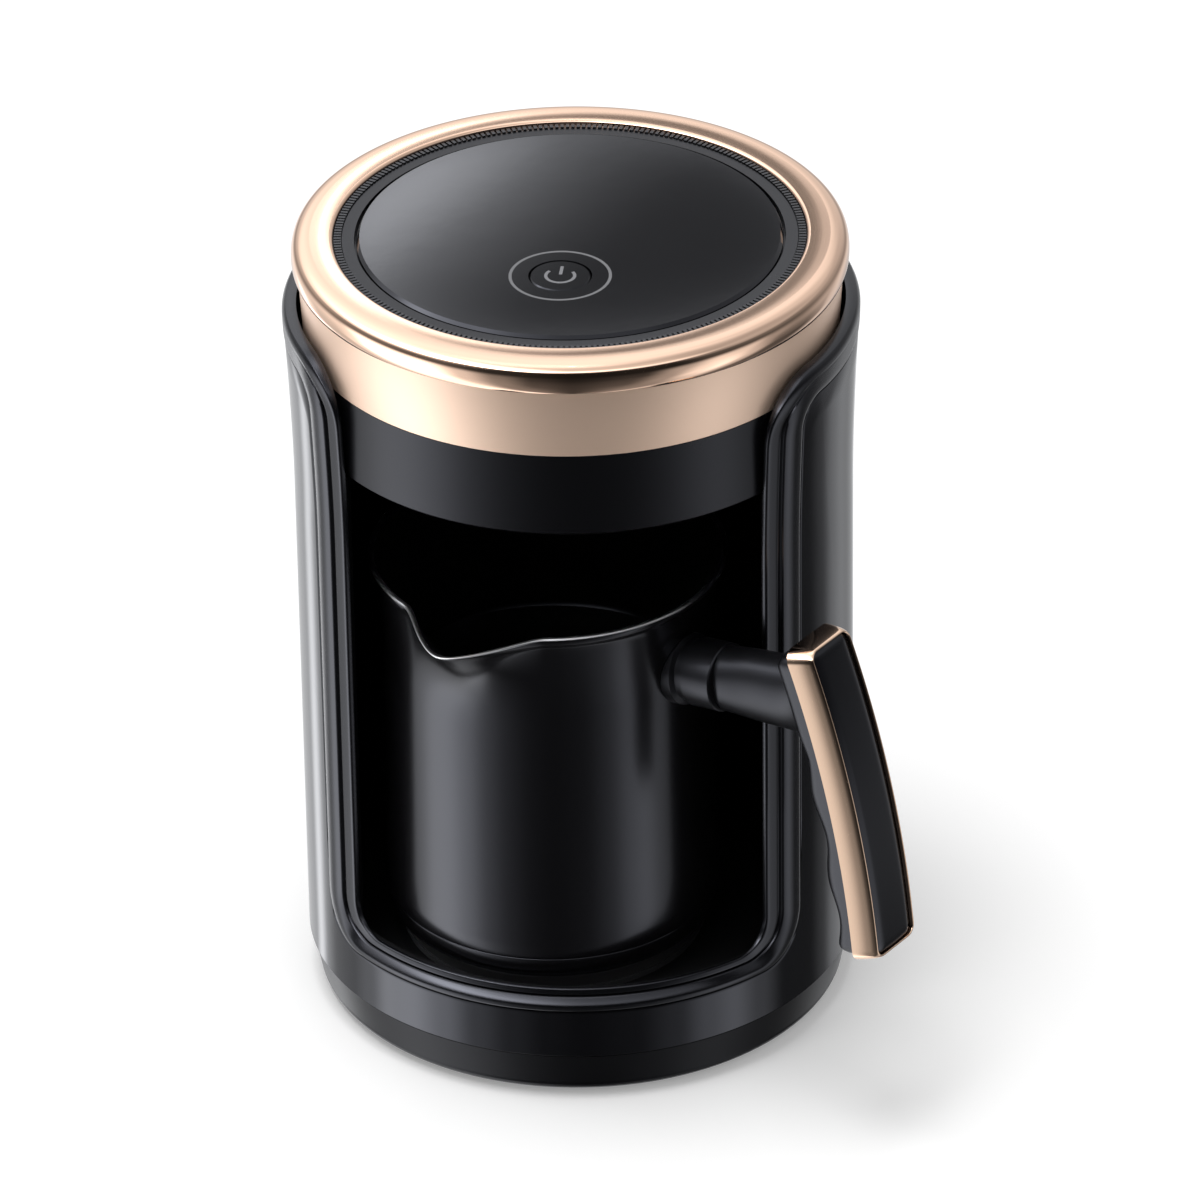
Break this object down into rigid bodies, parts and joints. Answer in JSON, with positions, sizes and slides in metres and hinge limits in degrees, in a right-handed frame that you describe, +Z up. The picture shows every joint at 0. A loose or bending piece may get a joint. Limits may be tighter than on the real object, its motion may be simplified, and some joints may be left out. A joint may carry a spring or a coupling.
{
  "type": "electric turkish coffee maker",
  "caption": "Round electric turkish coffee maker with an open-fronted black shell, rose-gold top ring, power button and a lift-out pot with pour spout and side handle.",
  "frame": {"origin": "centre of the standing ring's tread, on the surface the machine stands on", "axes": "+Z up along the shell's axis, -Y out of the opening where the pot comes out, +X to the right of somebody facing the opening"},
  "size_m": [0.1723, 0.161, 0.223],
  "materials": {
    "foot_rubber": "matt, fine moulded grain",
    "base_black": "satin, fine spark texture",
    "screw_steel": "zinc plated",
    "shell_gloss_black": "smooth high gloss",
    "bezel_satin_black": "satin",
    "liner_black": "satin",
    "seal_rubber": "matt",
    "plate_grey": "fine matt coating",
    "element_steel": "heat-tinted tube",
    "cutoff_black": "matt",
    "holder_black": "matt",
    "spring_steel": "drawn wire",
    "probe_steel": "turned face",
    "board_green": "satin solder mask",
    "loom_black": "satin sleeve",
    "head_satin_black": "semi-gloss",
    "window_black": "dark clear window",
    "rose_gold_satin": "satin anodised rose gold",
    "annulus_black": "satin",
    "tooth_black": "semi-gloss, fine teeth",
    "rose_gold_polished": "polished rose gold plating",
    "disc_gloss_black": "high gloss",
    "halo_grey": "translucent light ring",
    "switch_black": "matt",
    "symbol_white": "printed",
    "plunger_ivory": "matt",
    "pot_black": "satin non-stick coating",
    "pot_base_black": "satin non-stick coating",
    "spreader_aluminium": "plain",
    "handle_black": "satin",
    "inlay_gloss_black": "high gloss"
  },
  "bodies": {
    "machine": {"standing_ring": "foot_rubber", "base_pan": "base_black", "base_screws": "screw_steel", "outer_shell": "shell_gloss_black", "opening_bezel": "bezel_satin_black", "bay_floor": "liner_black", "bay_wall": "liner_black", "plate_gasket": "seal_rubber", "hot_plate": "plate_grey", "heating_element": "element_steel", "thermal_cutoff": "cutoff_black", "probe_holder": "holder_black", "probe_spring": "spring_steel", "cord_bush": "seal_rubber", "power_board": "board_green", "power_board_screws": "screw_steel", "wire_loom": "loom_black", "head_housing": "head_satin_black", "head_screws": "screw_steel", "overflow_sensor": "board_green", "sensor_window": "window_black", "satin_band": "rose_gold_satin", "top_plate": "annulus_black", "toothed_ring": "tooth_black", "cap_ring": "rose_gold_polished", "top_disc": "disc_gloss_black", "button_halo": "halo_grey", "control_board": "board_green", "control_board_screws": "screw_steel", "button_switch": "switch_black", "buzzer": "switch_black"},
    "button": {"power_button": "disc_gloss_black", "power_symbol": "symbol_white", "switch_plunger": "plunger_ivory"},
    "probe": {"heat_probe": "probe_steel"},
    "pot": {"pot_body": "pot_black", "pot_base": "pot_base_black", "heat_spreader": "spreader_aluminium", "handle_collar": "handle_black", "handle_core": "handle_black", "handle_bolt": "screw_steel", "grip_frame": "rose_gold_polished", "grip_inlay": "inlay_gloss_black"}
  },
  "joints": [
    {"name": "button_press", "type": "slide", "parent": "machine", "child": "button", "axis": [0, 0, 1], "range_m": [-0.0012, 0], "stiffness_N_per_m": 800, "springref_m": 0.001},
    {"name": "probe_press", "type": "slide", "parent": "machine", "child": "probe", "axis": [0, 0, 1], "range_m": [-0.0015, 0], "stiffness_N_per_m": 400, "springref_m": 0.002, "deforming": ["probe_spring"]},
    {"name": "pot_lift_out", "type": "slide", "parent": "machine", "child": "pot", "axis": [0, -0.9588, 0.284], "range_m": [0, 0.112]}
  ]
}
